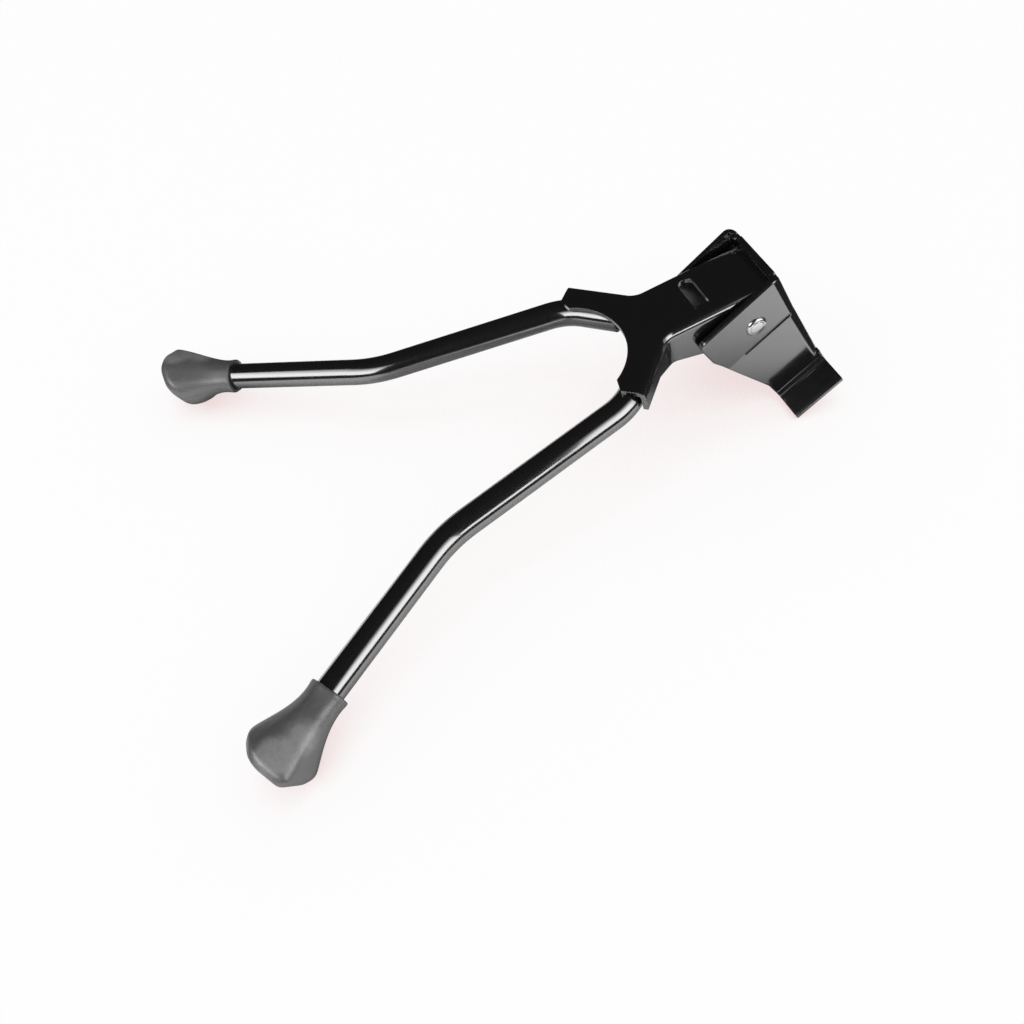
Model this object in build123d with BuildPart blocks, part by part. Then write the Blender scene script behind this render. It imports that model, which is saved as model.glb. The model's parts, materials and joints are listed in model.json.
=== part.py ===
"""Two-leg centre kickstand for a bicycle, lying on its feet and on its bracket's flanges.

Every piece is built in the frame of the legs and then laid down on the table: X runs
across the stand, Y along it from the feet to the bracket, and the centre lines of the
tubes lie in the plane Z = 0. The bicycle's left side is +X.
"""
import os
from math import acos, atan2, ceil, cos, degrees, radians, sin, sqrt, tan

from build123d import *

# Legs: round tube from the yoke's arm down into the foot
tube_diameter = 14.0
tube_wall = 1.5
collar_x = 107.4
knee_x = 60.7
knee_y = 72.7
knee_radius = 70.0
thigh_splay = 12.3
hip_y = 178.0
hip_radius = 32.0
tube_in_arm = 30.0
tube_in_foot = 24.0

# Yoke: pressed sheet that covers the tops of the tubes and carries the pivot ears
yoke_sheet = 2.5
weld_gap = 0.1
arm_gap = 0.25
yoke_bend = 4.0
neck_half_width = 18.0
arm_angle = 43.2
arm_tip_cut = 12.0
crotch_radius = 34.0
crotch_y = 193.6
toe_x = 28.7
waist_radius = 9.0
waist_y = 208.0
arm_flange = 11.6
waist_flange = 18.5
ear_radius = 14.0

# Crosswise window in the neck, with the lanced tongue that holds the spring
window_far_x = -11.0
window_width = 8.0
window_y = 233.5
tab_slit = 0.4
tab_corner = 3.0
tab_inset = 10.0
tongue_reach = 14.5
tongue_hole_depth = 10.5
hook_hole = 3.8

# Pivot: one shouldered rivet and one washer at each cheek
pivot_y = 254.3
pivot_z = -7.1
rivet_diameter = 11.0
rivet_head_diameter = 17.0
rivet_head = 1.9
rivet_proud = 1.2
rivet_edge = 1.7
running_clearance = 0.06
washer_diameter = 20.0
washer_thickness = 2.0
side_gap = 0.1

# Bracket: folded sheet, with u towards the top plate and d towards the bicycle's rear
bracket_angle = 26.1
bracket_sheet = 3.2
bracket_bend = 5.0
plate_incline = 9.4
plate_distance = 20.8
plate_front = -16.5
plate_rear = 38.0
relief_radius = 2.2
front_d = -16.8
crease_d = 11.0
flare_angle = 10.0
score_low = -13.5
score_high = 15.6
score_radius = 0.9
score_depth = 0.6
rear_d = 52.0
lower_front_u = -26.5
lower_mid_u = -27.3
lower_mid_d = 0.0
kink_u = -23.3
kink_d = 15.0
rear_u = -16.6
rear_rise_d = 39.0
cheek_corner = 4.5
front_corner = 5.0
front_edge = 1.0
kink_corner = 8.0
flange_reach = 47.5
flange_edge = 1.2
flange_fold = 4.0
flange_start = 8.0
bolt_hole = 10.5
bolt_along = 20.0

# Lug on the top plate, and the tension spring between it and the tongue
lug_along = 0.5
lug_width = 8.0
lug_reach = 12.0
lug_hole_depth = 7.8
lug_slot = 14.0
wire = 1.8
coil_radius = 3.5
coil_core = 2.7
coil_ridge = 0.8
hook_shank = 1.5

# Feet: moulded caps that flare to a rim and end in a bevelled, slanting sole
foot_waist = 12.0
collar_radius = 9.8
flare_share = 0.44
rim_along = 32.3
rim_outer = 16.2
rim_inner = 16.6
rim_top = 19.6
rim_bottom = 18.6
sole_bevel = 5.5
sole_share = 0.88
sole_round = 2.0
sole_side_slope = 0.32
sole_rise_slope = 0.46
socket_clearance = 0.1

# Shape of the feet's sections, as shares of their height and inner reach
outer_face = 0.58
inner_face = 0.48
crown_inset = 0.05
collar_round = 0.65
ridge_round = 0.22
crown_round = 0.72
inner_round = 0.62
keel_round = 0.65

# Values that follow from the sizes above
tube_radius = tube_diameter / 2
yoke_under = tube_radius + weld_gap
yoke_top = yoke_under + yoke_sheet
cheek_inner = neck_half_width + washer_thickness + 2 * side_gap
cheek_outer = cheek_inner + bracket_sheet
plate_angle = bracket_angle - plate_incline
tab_x = neck_half_width - tab_inset
beyond = 2 * flange_reach


def direction(angle):
    """Unit vector in the plane of the legs, at an angle in degrees from +X."""
    return Vector(cos(radians(angle)), sin(radians(angle)))


def side_direction(angle):
    """Unit vector in the side view, at an angle in degrees from +Y towards +Z."""
    return Vector(0, cos(radians(angle)), sin(radians(angle)))


# Planes that the pieces are drawn on
across = Vector(1, 0, 0)
pivot = Vector(0, pivot_y, pivot_z)
plate_normal = side_direction(plate_angle)
LEG_SIDE = Plane((0, 0, 0), x_dir=(0, 1, 0), z_dir=across)
PIVOT_SIDE = Plane(pivot, x_dir=(0, 1, 0), z_dir=across)
BRACKET_SIDE = Plane(pivot, x_dir=side_direction(bracket_angle), z_dir=across)
BRACKET_PLAN = Plane(pivot, x_dir=across, z_dir=side_direction(bracket_angle))
PLATE = Plane(pivot + plate_normal * plate_distance, x_dir=across, z_dir=plate_normal)
TONGUE = Plane((0, window_y, yoke_top), x_dir=across, z_dir=(0, 1, 0))
LUG = Plane(PLATE.from_local_coords((0, lug_along, 0)), x_dir=across, z_dir=PLATE.y_dir)


def lanced_tab(plane, sheet, bend, width, reach, hole_depth):
    """Tab cut from a sheet and bent inwards, with a hole for the spring's hook.

    The plane's x runs across the stand, and its y goes inwards from the sheet's outer face.
    """
    near = tab_x - sheet / 2
    far = tab_x + sheet / 2
    root = near + bend
    hole_plane = Plane(plane.from_local_coords((0, hole_depth, 0)), x_dir=plane.z_dir, z_dir=across)
    with BuildPart() as tab:
        with BuildSketch(plane):
            with BuildLine():
                Line((root + sheet, 0), (root, 0))
                CenterArc((root, bend), bend, 180, 90)
                Polyline((near, bend), (near, reach), (far, reach), (far, bend))
                CenterArc((root, bend), bend - sheet, 180, 90)
                Polyline((root, sheet), (root + sheet, sheet), (root + sheet, 0))
            make_face()
        extrude(amount=width / 2, both=True)
        tip = tab.edges().filter_by(Axis.X).sort_by(lambda e: plane.to_local_coords(e.center()).Y)[-2:]
        fillet(tip, tab_corner)
        with BuildSketch(hole_plane):
            Circle(hook_hole / 2)
        extrude(amount=beyond, both=True, mode=Mode.SUBTRACT)
    return tab.part


# Left leg: a tube along a line with two bends
knee = Vector(knee_x, knee_y)
collar = Vector(collar_x, 0)
shin = (collar - knee).normalized()
hip = knee + direction(90 + thigh_splay) * ((hip_y - knee_y) / cos(radians(thigh_splay)))
arm_run = direction(180 - arm_angle)
arm_out = direction(90 - arm_angle)
tube_top = hip + arm_run * tube_in_arm
tube_end = collar + shin * tube_in_foot

with BuildPart() as left_leg:
    with BuildLine() as leg_line:
        FilletPolyline(tube_top, hip, knee, tube_end, radius=[hip_radius, knee_radius])
    with BuildSketch(Plane(leg_line.line @ 0, z_dir=leg_line.line % 0)):
        Circle(tube_radius)
        Circle(tube_radius - tube_wall, mode=Mode.SUBTRACT)
    sweep(path=leg_line.line)

with BuildPart() as right_leg:
    mirror(left_leg.part, about=Plane.YZ)

# Yoke: a block with the pressing's outline, hollowed from below so that only the top
# and the bent-down outer sides are left. The neck's end stops against the top plate.
stop_height = yoke_top - pivot_z
stop_room = plate_distance - bracket_sheet - side_gap - stop_height * sin(radians(plate_angle))
neck_end = pivot_y + stop_room / cos(radians(plate_angle))
arm_tip = hip + arm_out * (tube_radius + arm_gap + yoke_sheet)
tip_heel = arm_tip - arm_out * arm_tip_cut
toe_y = crotch_y - crotch_radius + sqrt(crotch_radius**2 - toe_x**2)
yoke_bottom = pivot_z - ear_radius


def waist_corner(half_width, inset):
    """Corner between the neck's side and the arm's outer side, moved in by the inset."""
    start = arm_tip - arm_out * inset
    return start + arm_run * ((start.X - half_width) / cos(radians(arm_angle)))


def bent_edges(block, half_width):
    """Top edges along the neck's sides and the arms' outer sides."""
    top = block.edges().group_by(Axis.Z)[-1]
    return [e for e in top if abs(e.center().X) > half_width - side_gap and e.center().Y > arm_tip.Y]


with BuildPart() as yoke_hollow:
    with BuildSketch(Plane.XY.offset(yoke_bottom - yoke_sheet)):
        with BuildLine():
            side_x = neck_half_width - yoke_sheet
            arm_far = arm_tip - arm_out * yoke_sheet - arm_run * tube_diameter
            hollow_corner = waist_corner(side_x, yoke_sheet)
            FilletPolyline((0, neck_end + beyond), (side_x, neck_end + beyond), hollow_corner, arm_far,
                           (0, arm_far.Y - beyond), radius=[0, waist_radius + yoke_sheet, 0])
            mirror(about=Plane.YZ)
        make_face()
    extrude(amount=yoke_under - yoke_bottom + yoke_sheet)
    fillet(bent_edges(yoke_hollow, side_x), yoke_bend - yoke_sheet)

with BuildPart() as leg_yoke:
    with BuildSketch(Plane.XY.offset(yoke_bottom)):
        with BuildLine():
            waist = waist_corner(neck_half_width, 0)
            FilletPolyline((0, neck_end), (neck_half_width, neck_end), waist, arm_tip, tip_heel,
                           (toe_x, toe_y), radius=[0, waist_radius, 0, 0])
            RadiusArc((toe_x, toe_y), (0, crotch_y), -crotch_radius)
            mirror(about=Plane.YZ)
        make_face()
    extrude(amount=yoke_top - yoke_bottom)
    fillet(bent_edges(leg_yoke, neck_half_width), yoke_bend)
    add(yoke_hollow.part, mode=Mode.SUBTRACT)
    # Lower edge of the sides: shallow along the arms, deeper at the waist, round at the ears
    arm_z = yoke_top - arm_flange
    waist_z = yoke_top - waist_flange
    to_waist = Vector(waist_y - pivot_y, waist_z - pivot_z)
    touch = degrees(atan2(to_waist.Y, to_waist.X) + acos(ear_radius / to_waist.length))
    ear_touch = pivot + side_direction(touch) * ear_radius
    ear_front_z = pivot_z - sqrt(ear_radius**2 - (neck_end - pivot_y) ** 2)
    with BuildSketch(LEG_SIDE):
        with BuildLine():
            Polyline((neck_end, ear_front_z), (neck_end, beyond), (0, beyond), (0, arm_z),
                     (waist_y - waist_radius, arm_z), (waist_y, waist_z), (ear_touch.Y, ear_touch.Z))
            RadiusArc((ear_touch.Y, ear_touch.Z), (neck_end, ear_front_z), -ear_radius)
        make_face()
    extrude(amount=beyond, both=True, mode=Mode.INTERSECT)
    # Window, tongue and pivot holes
    window_near_x = tab_x - yoke_sheet / 2 + yoke_bend
    with BuildSketch(Plane.XY.offset(yoke_under - yoke_sheet)):
        with Locations((window_far_x, window_y)):
            Rectangle(window_near_x - window_far_x, window_width, align=(Align.MIN, Align.CENTER))
    extrude(amount=2 * yoke_sheet, mode=Mode.SUBTRACT)
    far_corners = leg_yoke.edges().filter_by(Axis.Z).sort_by_distance((window_far_x, window_y, yoke_top))[:2]
    fillet(far_corners, window_width / 2 - tab_slit)
    tongue_width = window_width - 2 * tab_slit
    add(lanced_tab(TONGUE, yoke_sheet, yoke_bend, tongue_width, tongue_reach, tongue_hole_depth))
    with BuildSketch(PIVOT_SIDE):
        Circle(rivet_diameter / 2 + running_clearance)
    extrude(amount=beyond, both=True, mode=Mode.SUBTRACT)

# Bracket: cheeks and top plate as a bent channel that flares behind the crease
flare = tan(radians(flare_angle))
flare_sheet = bracket_sheet / cos(radians(flare_angle))
fold_d = rear_d - flange_start
plate_slope = tan(radians(plate_incline))


def flared(d):
    """Half width over the cheeks' outer faces behind the crease."""
    return cheek_outer + (d - crease_d) * flare


def channel_block(half_width, crease, rear_half_width, rear, plate, bend):
    """Solid block inside the given outer faces, with the bends to the top plate rounded."""
    with BuildPart() as block:
        with BuildSketch(BRACKET_PLAN):
            with BuildLine():
                Polyline((0, front_d - beyond), (half_width, front_d - beyond), (half_width, crease),
                         (rear_half_width, rear), (0, rear))
                mirror(about=Plane.YZ)
            make_face()
        extrude(amount=beyond, both=True)
        with BuildSketch(PLATE.offset(plate - plate_distance)):
            Rectangle(4 * beyond, 4 * beyond)
        extrude(amount=2 * beyond, mode=Mode.SUBTRACT)
        plate_face = block.faces().sort_by(lambda f: f.center().dot(plate_normal))[-1]
        sides = [e for e in plate_face.edges() if abs(e.center().X) > half_width - side_gap]
        fillet(sides, bend)
    return block.part


channel_outer = channel_block(cheek_outer, crease_d, flared(fold_d), fold_d, plate_distance, bracket_bend)
inner_crease = crease_d + bracket_sheet * tan(radians(flare_angle / 2))
channel_inner = channel_block(cheek_inner, inner_crease, flared(rear_d) - flare_sheet, rear_d,
                              plate_distance - bracket_sheet, bracket_bend - bracket_sheet)

# Out-turned flange behind each flared cheek, trimmed by the plane of the top plate
front_face = rear_d - bracket_sheet

with BuildPart() as flanges:
    with BuildSketch(BRACKET_PLAN):
        with BuildLine():
            FilletPolyline((flared(fold_d), fold_d), (flared(front_face), front_face),
                           (flange_reach, front_face), (flange_reach, rear_d),
                           (flared(rear_d) - flare_sheet, rear_d), (flared(fold_d) - flare_sheet, fold_d),
                           radius=[flange_fold, flange_edge, flange_edge, flange_fold + bracket_sheet])
            Line((flared(fold_d) - flare_sheet, fold_d), (flared(fold_d), fold_d))
        make_face()
        mirror(about=Plane.YZ)
    extrude(amount=beyond, both=True)
    with BuildSketch(PLATE):
        Rectangle(4 * beyond, 4 * beyond)
    extrude(amount=2 * beyond, mode=Mode.SUBTRACT)

with BuildPart() as bracket:
    add(channel_outer)
    add(channel_inner, mode=Mode.SUBTRACT)
    add(flanges.part)
    # Side outline of the cheeks and flanges, which clears the top plate and the flanges' rear faces
    past_rear = rear_d + bracket_sheet
    with BuildSketch(BRACKET_SIDE):
        with BuildLine():
            FilletPolyline((lower_front_u, -front_d), (lower_mid_u, -lower_mid_d), (kink_u, -kink_d),
                           (rear_u, -rear_rise_d), (rear_u, -past_rear), (beyond, -past_rear),
                           (beyond, -front_d), (lower_front_u, -front_d),
                           radius=[cheek_corner, kink_corner, kink_corner, kink_corner, 0, 0, 0])
        make_face()
    extrude(amount=beyond, both=True, mode=Mode.INTERSECT)
    # Rounded upper front corners of the cheeks
    corner_u = plate_distance / cos(radians(plate_incline)) - front_d * plate_slope
    corner_run = front_corner / tan(radians(90 - plate_incline) / 2) + side_gap
    top_u = corner_u - corner_run * sin(radians(plate_incline))
    top_d = front_d + corner_run * cos(radians(plate_incline))
    with BuildSketch(BRACKET_SIDE):
        with BuildLine():
            FilletPolyline((corner_u - corner_run, -front_d), (corner_u, -front_d), (top_u, -top_d),
                           radius=front_corner)
            Polyline((top_u, -top_d), (corner_u + front_corner, front_corner - front_d),
                     (corner_u - corner_run, -front_d))
        make_face()
    extrude(amount=beyond, both=True, mode=Mode.SUBTRACT)
    # The plate's front edge stays square between the cheeks' rounded corners
    plate_half = cheek_inner - relief_radius
    with BuildSketch(PLATE):
        with Locations((0, plate_front)):
            Rectangle(2 * plate_half, 2 * front_corner, align=(Align.CENTER, Align.MIN))
    extrude(amount=-bracket_sheet)
    # Scored bend lines on the cheeks
    score_x = cheek_outer + score_radius - score_depth
    with BuildSketch(BRACKET_PLAN.offset(score_low)):
        with Locations((score_x, crease_d), (-score_x, crease_d)):
            Circle(score_radius)
    extrude(amount=score_high - score_low, mode=Mode.SUBTRACT)
    # Top plate: cut back at both ends, with relief notches, the bolt hole and the lug's slot
    lug_root = tab_x - bracket_sheet / 2 + bracket_bend
    with BuildSketch(PLATE):
        with Locations((0, plate_front)):
            Rectangle(2 * plate_half, beyond, align=(Align.CENTER, Align.MAX))
        with Locations((-plate_half, plate_front), (plate_half, plate_front)):
            Circle(relief_radius)
        with Locations((0, plate_rear)):
            Rectangle(2 * cheek_inner, beyond, align=(Align.CENTER, Align.MIN))
        with Locations((0, bolt_along)):
            Circle(bolt_hole / 2)
        with Locations((lug_root, lug_along)):
            Rectangle(lug_slot, lug_width + 2 * tab_slit, align=(Align.MAX, Align.CENTER))
    extrude(amount=-bracket_bend, mode=Mode.SUBTRACT)
    add(lanced_tab(LUG, bracket_sheet, bracket_bend, lug_width, lug_reach, lug_hole_depth))
    with BuildSketch(PIVOT_SIDE):
        Circle(rivet_diameter / 2)
    extrude(amount=beyond, both=True, mode=Mode.SUBTRACT)
    # Rounded outer edges of the cheeks, from the top plate round to the crease
    outer_edges = bracket.edges().filter_by(lambda e: abs(e.center().X) > cheek_outer - side_gap)
    upright = outer_edges.filter_by(Axis(pivot, side_direction(bracket_angle)))
    fillet(upright.filter_by(lambda e: BRACKET_SIDE.to_local_coords(e.center()).Y > 0), front_edge)

# Pivot rivets and washers
rivet_inner = neck_half_width - yoke_sheet - side_gap
rivet_end = cheek_outer + rivet_proud

with BuildPart() as left_pivot_rivet:
    with BuildSketch(PIVOT_SIDE.offset(rivet_inner - rivet_head)):
        Circle(rivet_head_diameter / 2)
    extrude(amount=rivet_head)
    with BuildSketch(PIVOT_SIDE.offset(rivet_inner)):
        Circle(rivet_diameter / 2)
    extrude(amount=rivet_end - rivet_inner)
    fillet(left_pivot_rivet.edges().group_by(Axis.X)[-1], rivet_edge)

with BuildPart() as right_pivot_rivet:
    mirror(left_pivot_rivet.part, about=Plane.YZ)

with BuildPart() as left_pivot_washer:
    with BuildSketch(PIVOT_SIDE.offset(neck_half_width + side_gap)):
        Circle(washer_diameter / 2)
        Circle(rivet_diameter / 2 + side_gap, mode=Mode.SUBTRACT)
    extrude(amount=washer_thickness)

with BuildPart() as right_pivot_washer:
    mirror(left_pivot_washer.part, about=Plane.YZ)

# Tension spring: close-wound coil with a hook at each end, through the tongue and the lug
spring_start = TONGUE.from_local_coords((tab_x, tongue_hole_depth, 0))
spring_end = LUG.from_local_coords((tab_x, lug_hole_depth, 0))
pull = (spring_end - spring_start).normalized()
hook_length = coil_radius + hook_shank
coil_length = (spring_end - spring_start).length - 2 * hook_length
coil_turns = ceil(coil_length / wire)
pitch = coil_length / coil_turns
COIL = Plane(spring_start + pull * hook_length, x_dir=across, z_dir=pull)
COIL_SECTION = Plane(COIL.origin, x_dir=across, z_dir=across.cross(pull))


def hook(plane):
    """Half loop of wire beyond the coil, in the plane of the spring's axis and X."""
    with BuildPart() as loop:
        with BuildLine(plane):
            shank = Line((coil_radius, wire / 2), (coil_radius, -hook_shank))
            CenterArc((0, -hook_shank), coil_radius, 0, -180)
            Line((-coil_radius, -hook_shank), (-coil_radius, -wire / 4))
        with BuildSketch(Plane(shank @ 0, z_dir=shank % 0)):
            Circle(wire / 2)
        sweep()
    return loop.part


with BuildPart() as return_spring:
    with BuildSketch(COIL_SECTION):
        with BuildLine():
            for turn in range(coil_turns):
                ridge = (coil_radius + coil_ridge, (turn + 1 / 2) * pitch)
                Polyline((coil_radius, turn * pitch), ridge, (coil_radius, (turn + 1) * pitch))
            Polyline((coil_radius, 0), (coil_core, 0), (coil_core, coil_length), (coil_radius, coil_length))
        make_face()
    revolve(axis=Axis(COIL.origin, pull))
    add(hook(COIL_SECTION))
    add(hook(Plane(spring_end - pull * hook_length, x_dir=across, z_dir=pull.cross(across))))

# Left foot: hoof-shaped cap with flat facets, a bevelled sole and a socket for the tube
foot_out = Vector(-shin.Y, shin.X)
up = Vector(0, 0, 1)
rim_sizes = (rim_outer, rim_inner, rim_top, rim_bottom)


def foot_plane(along, slant):
    """Plane across the foot, with the given share of the sole's slant."""
    facing = (shin - (foot_out * sole_side_slope + up * sole_rise_slope) * slant).normalized()
    return Plane(collar + shin * along, x_dir=foot_out - facing * foot_out.dot(facing), z_dir=facing)


def foot_section(plane, outer, inner, top, bottom, ridge):
    """Six-sided section with a flat outer side, one sharp ridge and five well-rounded corners."""
    crown = -crown_inset * inner
    with BuildSketch(plane) as section:
        with BuildLine():
            FilletPolyline((outer, -outer_face * bottom), (outer, outer_face * top), (crown, top),
                           (-inner, inner_face * top), (-inner, -inner_face * bottom), (crown, -bottom),
                           close=True,
                           radius=[keel_round * bottom, ridge * top, crown_round * top, inner_round * top,
                                   inner_round * bottom, crown_round * bottom])
        make_face()
    return section.sketch


def round_section(along):
    """Section of the foot's collar."""
    return foot_section(foot_plane(along, 0), collar_radius, collar_radius, collar_radius, collar_radius,
                        collar_round)


def slanting_section(plane, share, ridge):
    """Section with a share of the rim's growth from the collar."""
    sizes = [collar_radius + (size - collar_radius) * share for size in rim_sizes]
    return foot_section(plane, *sizes, ridge)


RIM = foot_plane(rim_along, 1)
HALF_WAY = foot_plane((foot_waist + rim_along) / 2, 1 / 2)
rim_section = foot_section(RIM, *rim_sizes, ridge_round)
sole_sizes = [sole_share * size for size in rim_sizes]
sole_section = foot_section(RIM.offset(sole_bevel), *sole_sizes, ridge_round)
with BuildPart() as left_foot:
    loft([
        round_section(0),
        round_section(foot_waist),
        slanting_section(HALF_WAY, flare_share, (collar_round + ridge_round) / 2),
        rim_section,
    ])
    loft([rim_section, sole_section], ruled=True)
    sole = left_foot.faces().sort_by(lambda f: f.center().dot(RIM.z_dir))[-1]
    fillet(sole.edges(), sole_round)
    with BuildSketch(Plane(collar, z_dir=shin)):
        Circle(tube_radius + socket_clearance)
    extrude(amount=tube_in_foot + socket_clearance, mode=Mode.SUBTRACT)

with BuildPart() as right_foot:
    mirror(left_foot.part, about=Plane.YZ)

pieces = {
    "bracket": bracket,
    "leg_yoke": leg_yoke,
    "left_leg": left_leg,
    "right_leg": right_leg,
    "left_foot": left_foot,
    "right_foot": right_foot,
    "left_pivot_rivet": left_pivot_rivet,
    "right_pivot_rivet": right_pivot_rivet,
    "left_pivot_washer": left_pivot_washer,
    "right_pivot_washer": right_pivot_washer,
    "return_spring": return_spring,
}

# Rest: the feet's rims and the front ends of the flanges lie on the table
foot_rest = RIM.from_local_coords((-crown_inset * rim_inner, -rim_bottom, 0))
flange_rest = BRACKET_SIDE.from_local_coords((rear_u, -rear_d, 0))
rest_span = flange_rest.Y - foot_rest.Y
first_tilt = degrees(atan2(foot_rest.Z - flange_rest.Z, rest_span))


def tilted(tilt):
    """Plane of the legs, tilted about X by an angle in degrees."""
    return Plane((0, 0, 0), x_dir=across, z_dir=side_direction(90 + tilt))


def lowest(piece, tilt):
    """Height of a piece's lowest point in the tilted stand."""
    return (tilted(tilt).location * piece.part).bounding_box().min.Z


# The tilt between the unrounded corners, mended by what their rounding leaves open
rounding_gap = lowest(left_foot, first_tilt) - lowest(bracket, first_tilt)
rest_tilt = first_tilt + degrees(atan2(rounding_gap, rest_span))
lying = Compound([tilted(rest_tilt).location * piece.part for piece in pieces.values()]).bounding_box()
TABLE = Plane((0, -lying.center().Y, -lying.min.Z), x_dir=across, z_dir=tilted(rest_tilt).z_dir)

os.makedirs("parts", exist_ok=True)
for name, piece in pieces.items():
    with BuildPart(TABLE) as placed:
        add(piece.part)
    placed.part.label = name
    export_step(placed.part, f"parts/{name}.step")
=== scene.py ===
"""Looks of a two-leg centre kickstand: black enamel, moulded feet, zinc pivots and a spring."""
import json
from math import atan2, cos, pi, radians, sin, tau

import bpy
from bpy.props import FloatProperty, FloatVectorProperty, IntProperty, PointerProperty
from bpy.types import Operator, Panel, PropertyGroup
from mathutils import Matrix, Vector


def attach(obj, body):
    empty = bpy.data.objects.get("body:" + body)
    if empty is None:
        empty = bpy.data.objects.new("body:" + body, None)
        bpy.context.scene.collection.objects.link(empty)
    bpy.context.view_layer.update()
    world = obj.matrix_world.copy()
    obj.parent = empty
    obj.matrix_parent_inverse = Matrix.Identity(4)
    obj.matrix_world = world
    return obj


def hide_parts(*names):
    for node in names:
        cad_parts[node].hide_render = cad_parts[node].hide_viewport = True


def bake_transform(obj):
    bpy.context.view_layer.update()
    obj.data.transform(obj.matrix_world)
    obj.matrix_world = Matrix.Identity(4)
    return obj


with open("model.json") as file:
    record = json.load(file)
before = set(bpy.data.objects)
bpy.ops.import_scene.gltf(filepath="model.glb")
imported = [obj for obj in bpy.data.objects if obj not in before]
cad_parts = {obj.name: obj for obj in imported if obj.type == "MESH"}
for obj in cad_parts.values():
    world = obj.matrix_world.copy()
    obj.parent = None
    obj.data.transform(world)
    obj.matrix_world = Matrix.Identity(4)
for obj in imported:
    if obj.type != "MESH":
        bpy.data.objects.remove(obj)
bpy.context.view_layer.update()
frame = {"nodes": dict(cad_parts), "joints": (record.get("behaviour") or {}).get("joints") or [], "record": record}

bl_info = {
    "name": "Centre kickstand",
    "version": (1, 0, 0),
    "blender": (4, 5, 0),
    "location": "3D View > Sidebar > Kickstand",
    "description": "Finishes, welds, spring and studio of a folding two-leg bicycle stand",
    "category": "Object",
}

MM = 0.001
WHITE = (1.0, 1.0, 1.0, 1.0)
BLACK = (0.0, 0.0, 0.0, 1.0)

# The frame of the legs: Y from the feet to the bracket, and the tubes' centre lines at Z = 0
PIVOT = Vector(frame["joints"][0]["pos_m"])
PIVOT_IN_LEGS = Vector((0, 254.3, -7.1)) * MM
PLATE_ANGLE = radians(16.7)
PLATE_AXIS = next(mount["axis"] for mount in frame["record"]["mounts"]
                  if mount["name"] == "frame_bolt")
REST_TILT = atan2(PLATE_AXIS[2], PLATE_AXIS[1]) - PLATE_ANGLE
LEGS = (Matrix.Translation(PIVOT) @ Matrix.Rotation(REST_TILT, 4, "X")
        @ Matrix.Translation(-PIVOT_IN_LEGS))


class SteelFinish(PropertyGroup):
    """Gloss black enamel on the pressings and tubes."""

    black: FloatVectorProperty(
        name="Enamel", description="Colour of the enamel",
        subtype="COLOR", size=3, min=0, max=1, default=(0.0065, 0.006, 0.0062))
    black_thin: FloatVectorProperty(
        name="Thin enamel", description="Colour where the enamel runs thin over an edge",
        subtype="COLOR", size=3, min=0, max=1, default=(0.024, 0.023, 0.023))
    index: FloatProperty(
        name="Index",
        description="Refractive index of the enamel, which sets how strongly it mirrors",
        default=2.6, min=1.2, max=3)
    coat_index: FloatProperty(
        name="Coat index", description="Refractive index of the clear coat over the enamel",
        default=2.0, min=1.2, max=3)
    roughness: FloatProperty(
        name="Roughness", description="Roughness of a clean stretch of enamel",
        subtype="FACTOR", default=0.12, min=0, max=1)
    coat_roughness: FloatProperty(
        name="Coat roughness", description="Roughness of the clear coat",
        subtype="FACTOR", default=0.07, min=0, max=1)
    peel_size: FloatProperty(
        name="Orange peel", description="Spacing of the enamel's ripples",
        subtype="DISTANCE", unit="LENGTH", default=2.2 * MM, min=0.2 * MM)
    peel_depth: FloatProperty(
        name="Peel depth", description="Height of the enamel's ripples",
        subtype="DISTANCE", unit="LENGTH", default=0.01 * MM, min=0)
    dust_size: FloatProperty(
        name="Dust", description="Spacing of the specks of dust in the enamel",
        subtype="DISTANCE", unit="LENGTH", default=1.1 * MM, min=0.1 * MM)
    rub_size: FloatProperty(
        name="Rubbing", description="Spacing of the rubbed places",
        subtype="DISTANCE", unit="LENGTH", default=6 * MM, min=0.5 * MM)
    cloud_size: FloatProperty(
        name="Clouding", description="Spacing of the duller clouds in the gloss",
        subtype="DISTANCE", unit="LENGTH", default=30 * MM, min=1 * MM)
    edge_round: FloatProperty(
        name="Edge rounding", description="Radius that the enamel gives to sheared edges",
        subtype="DISTANCE", unit="LENGTH", default=0.9 * MM, min=0)


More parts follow.
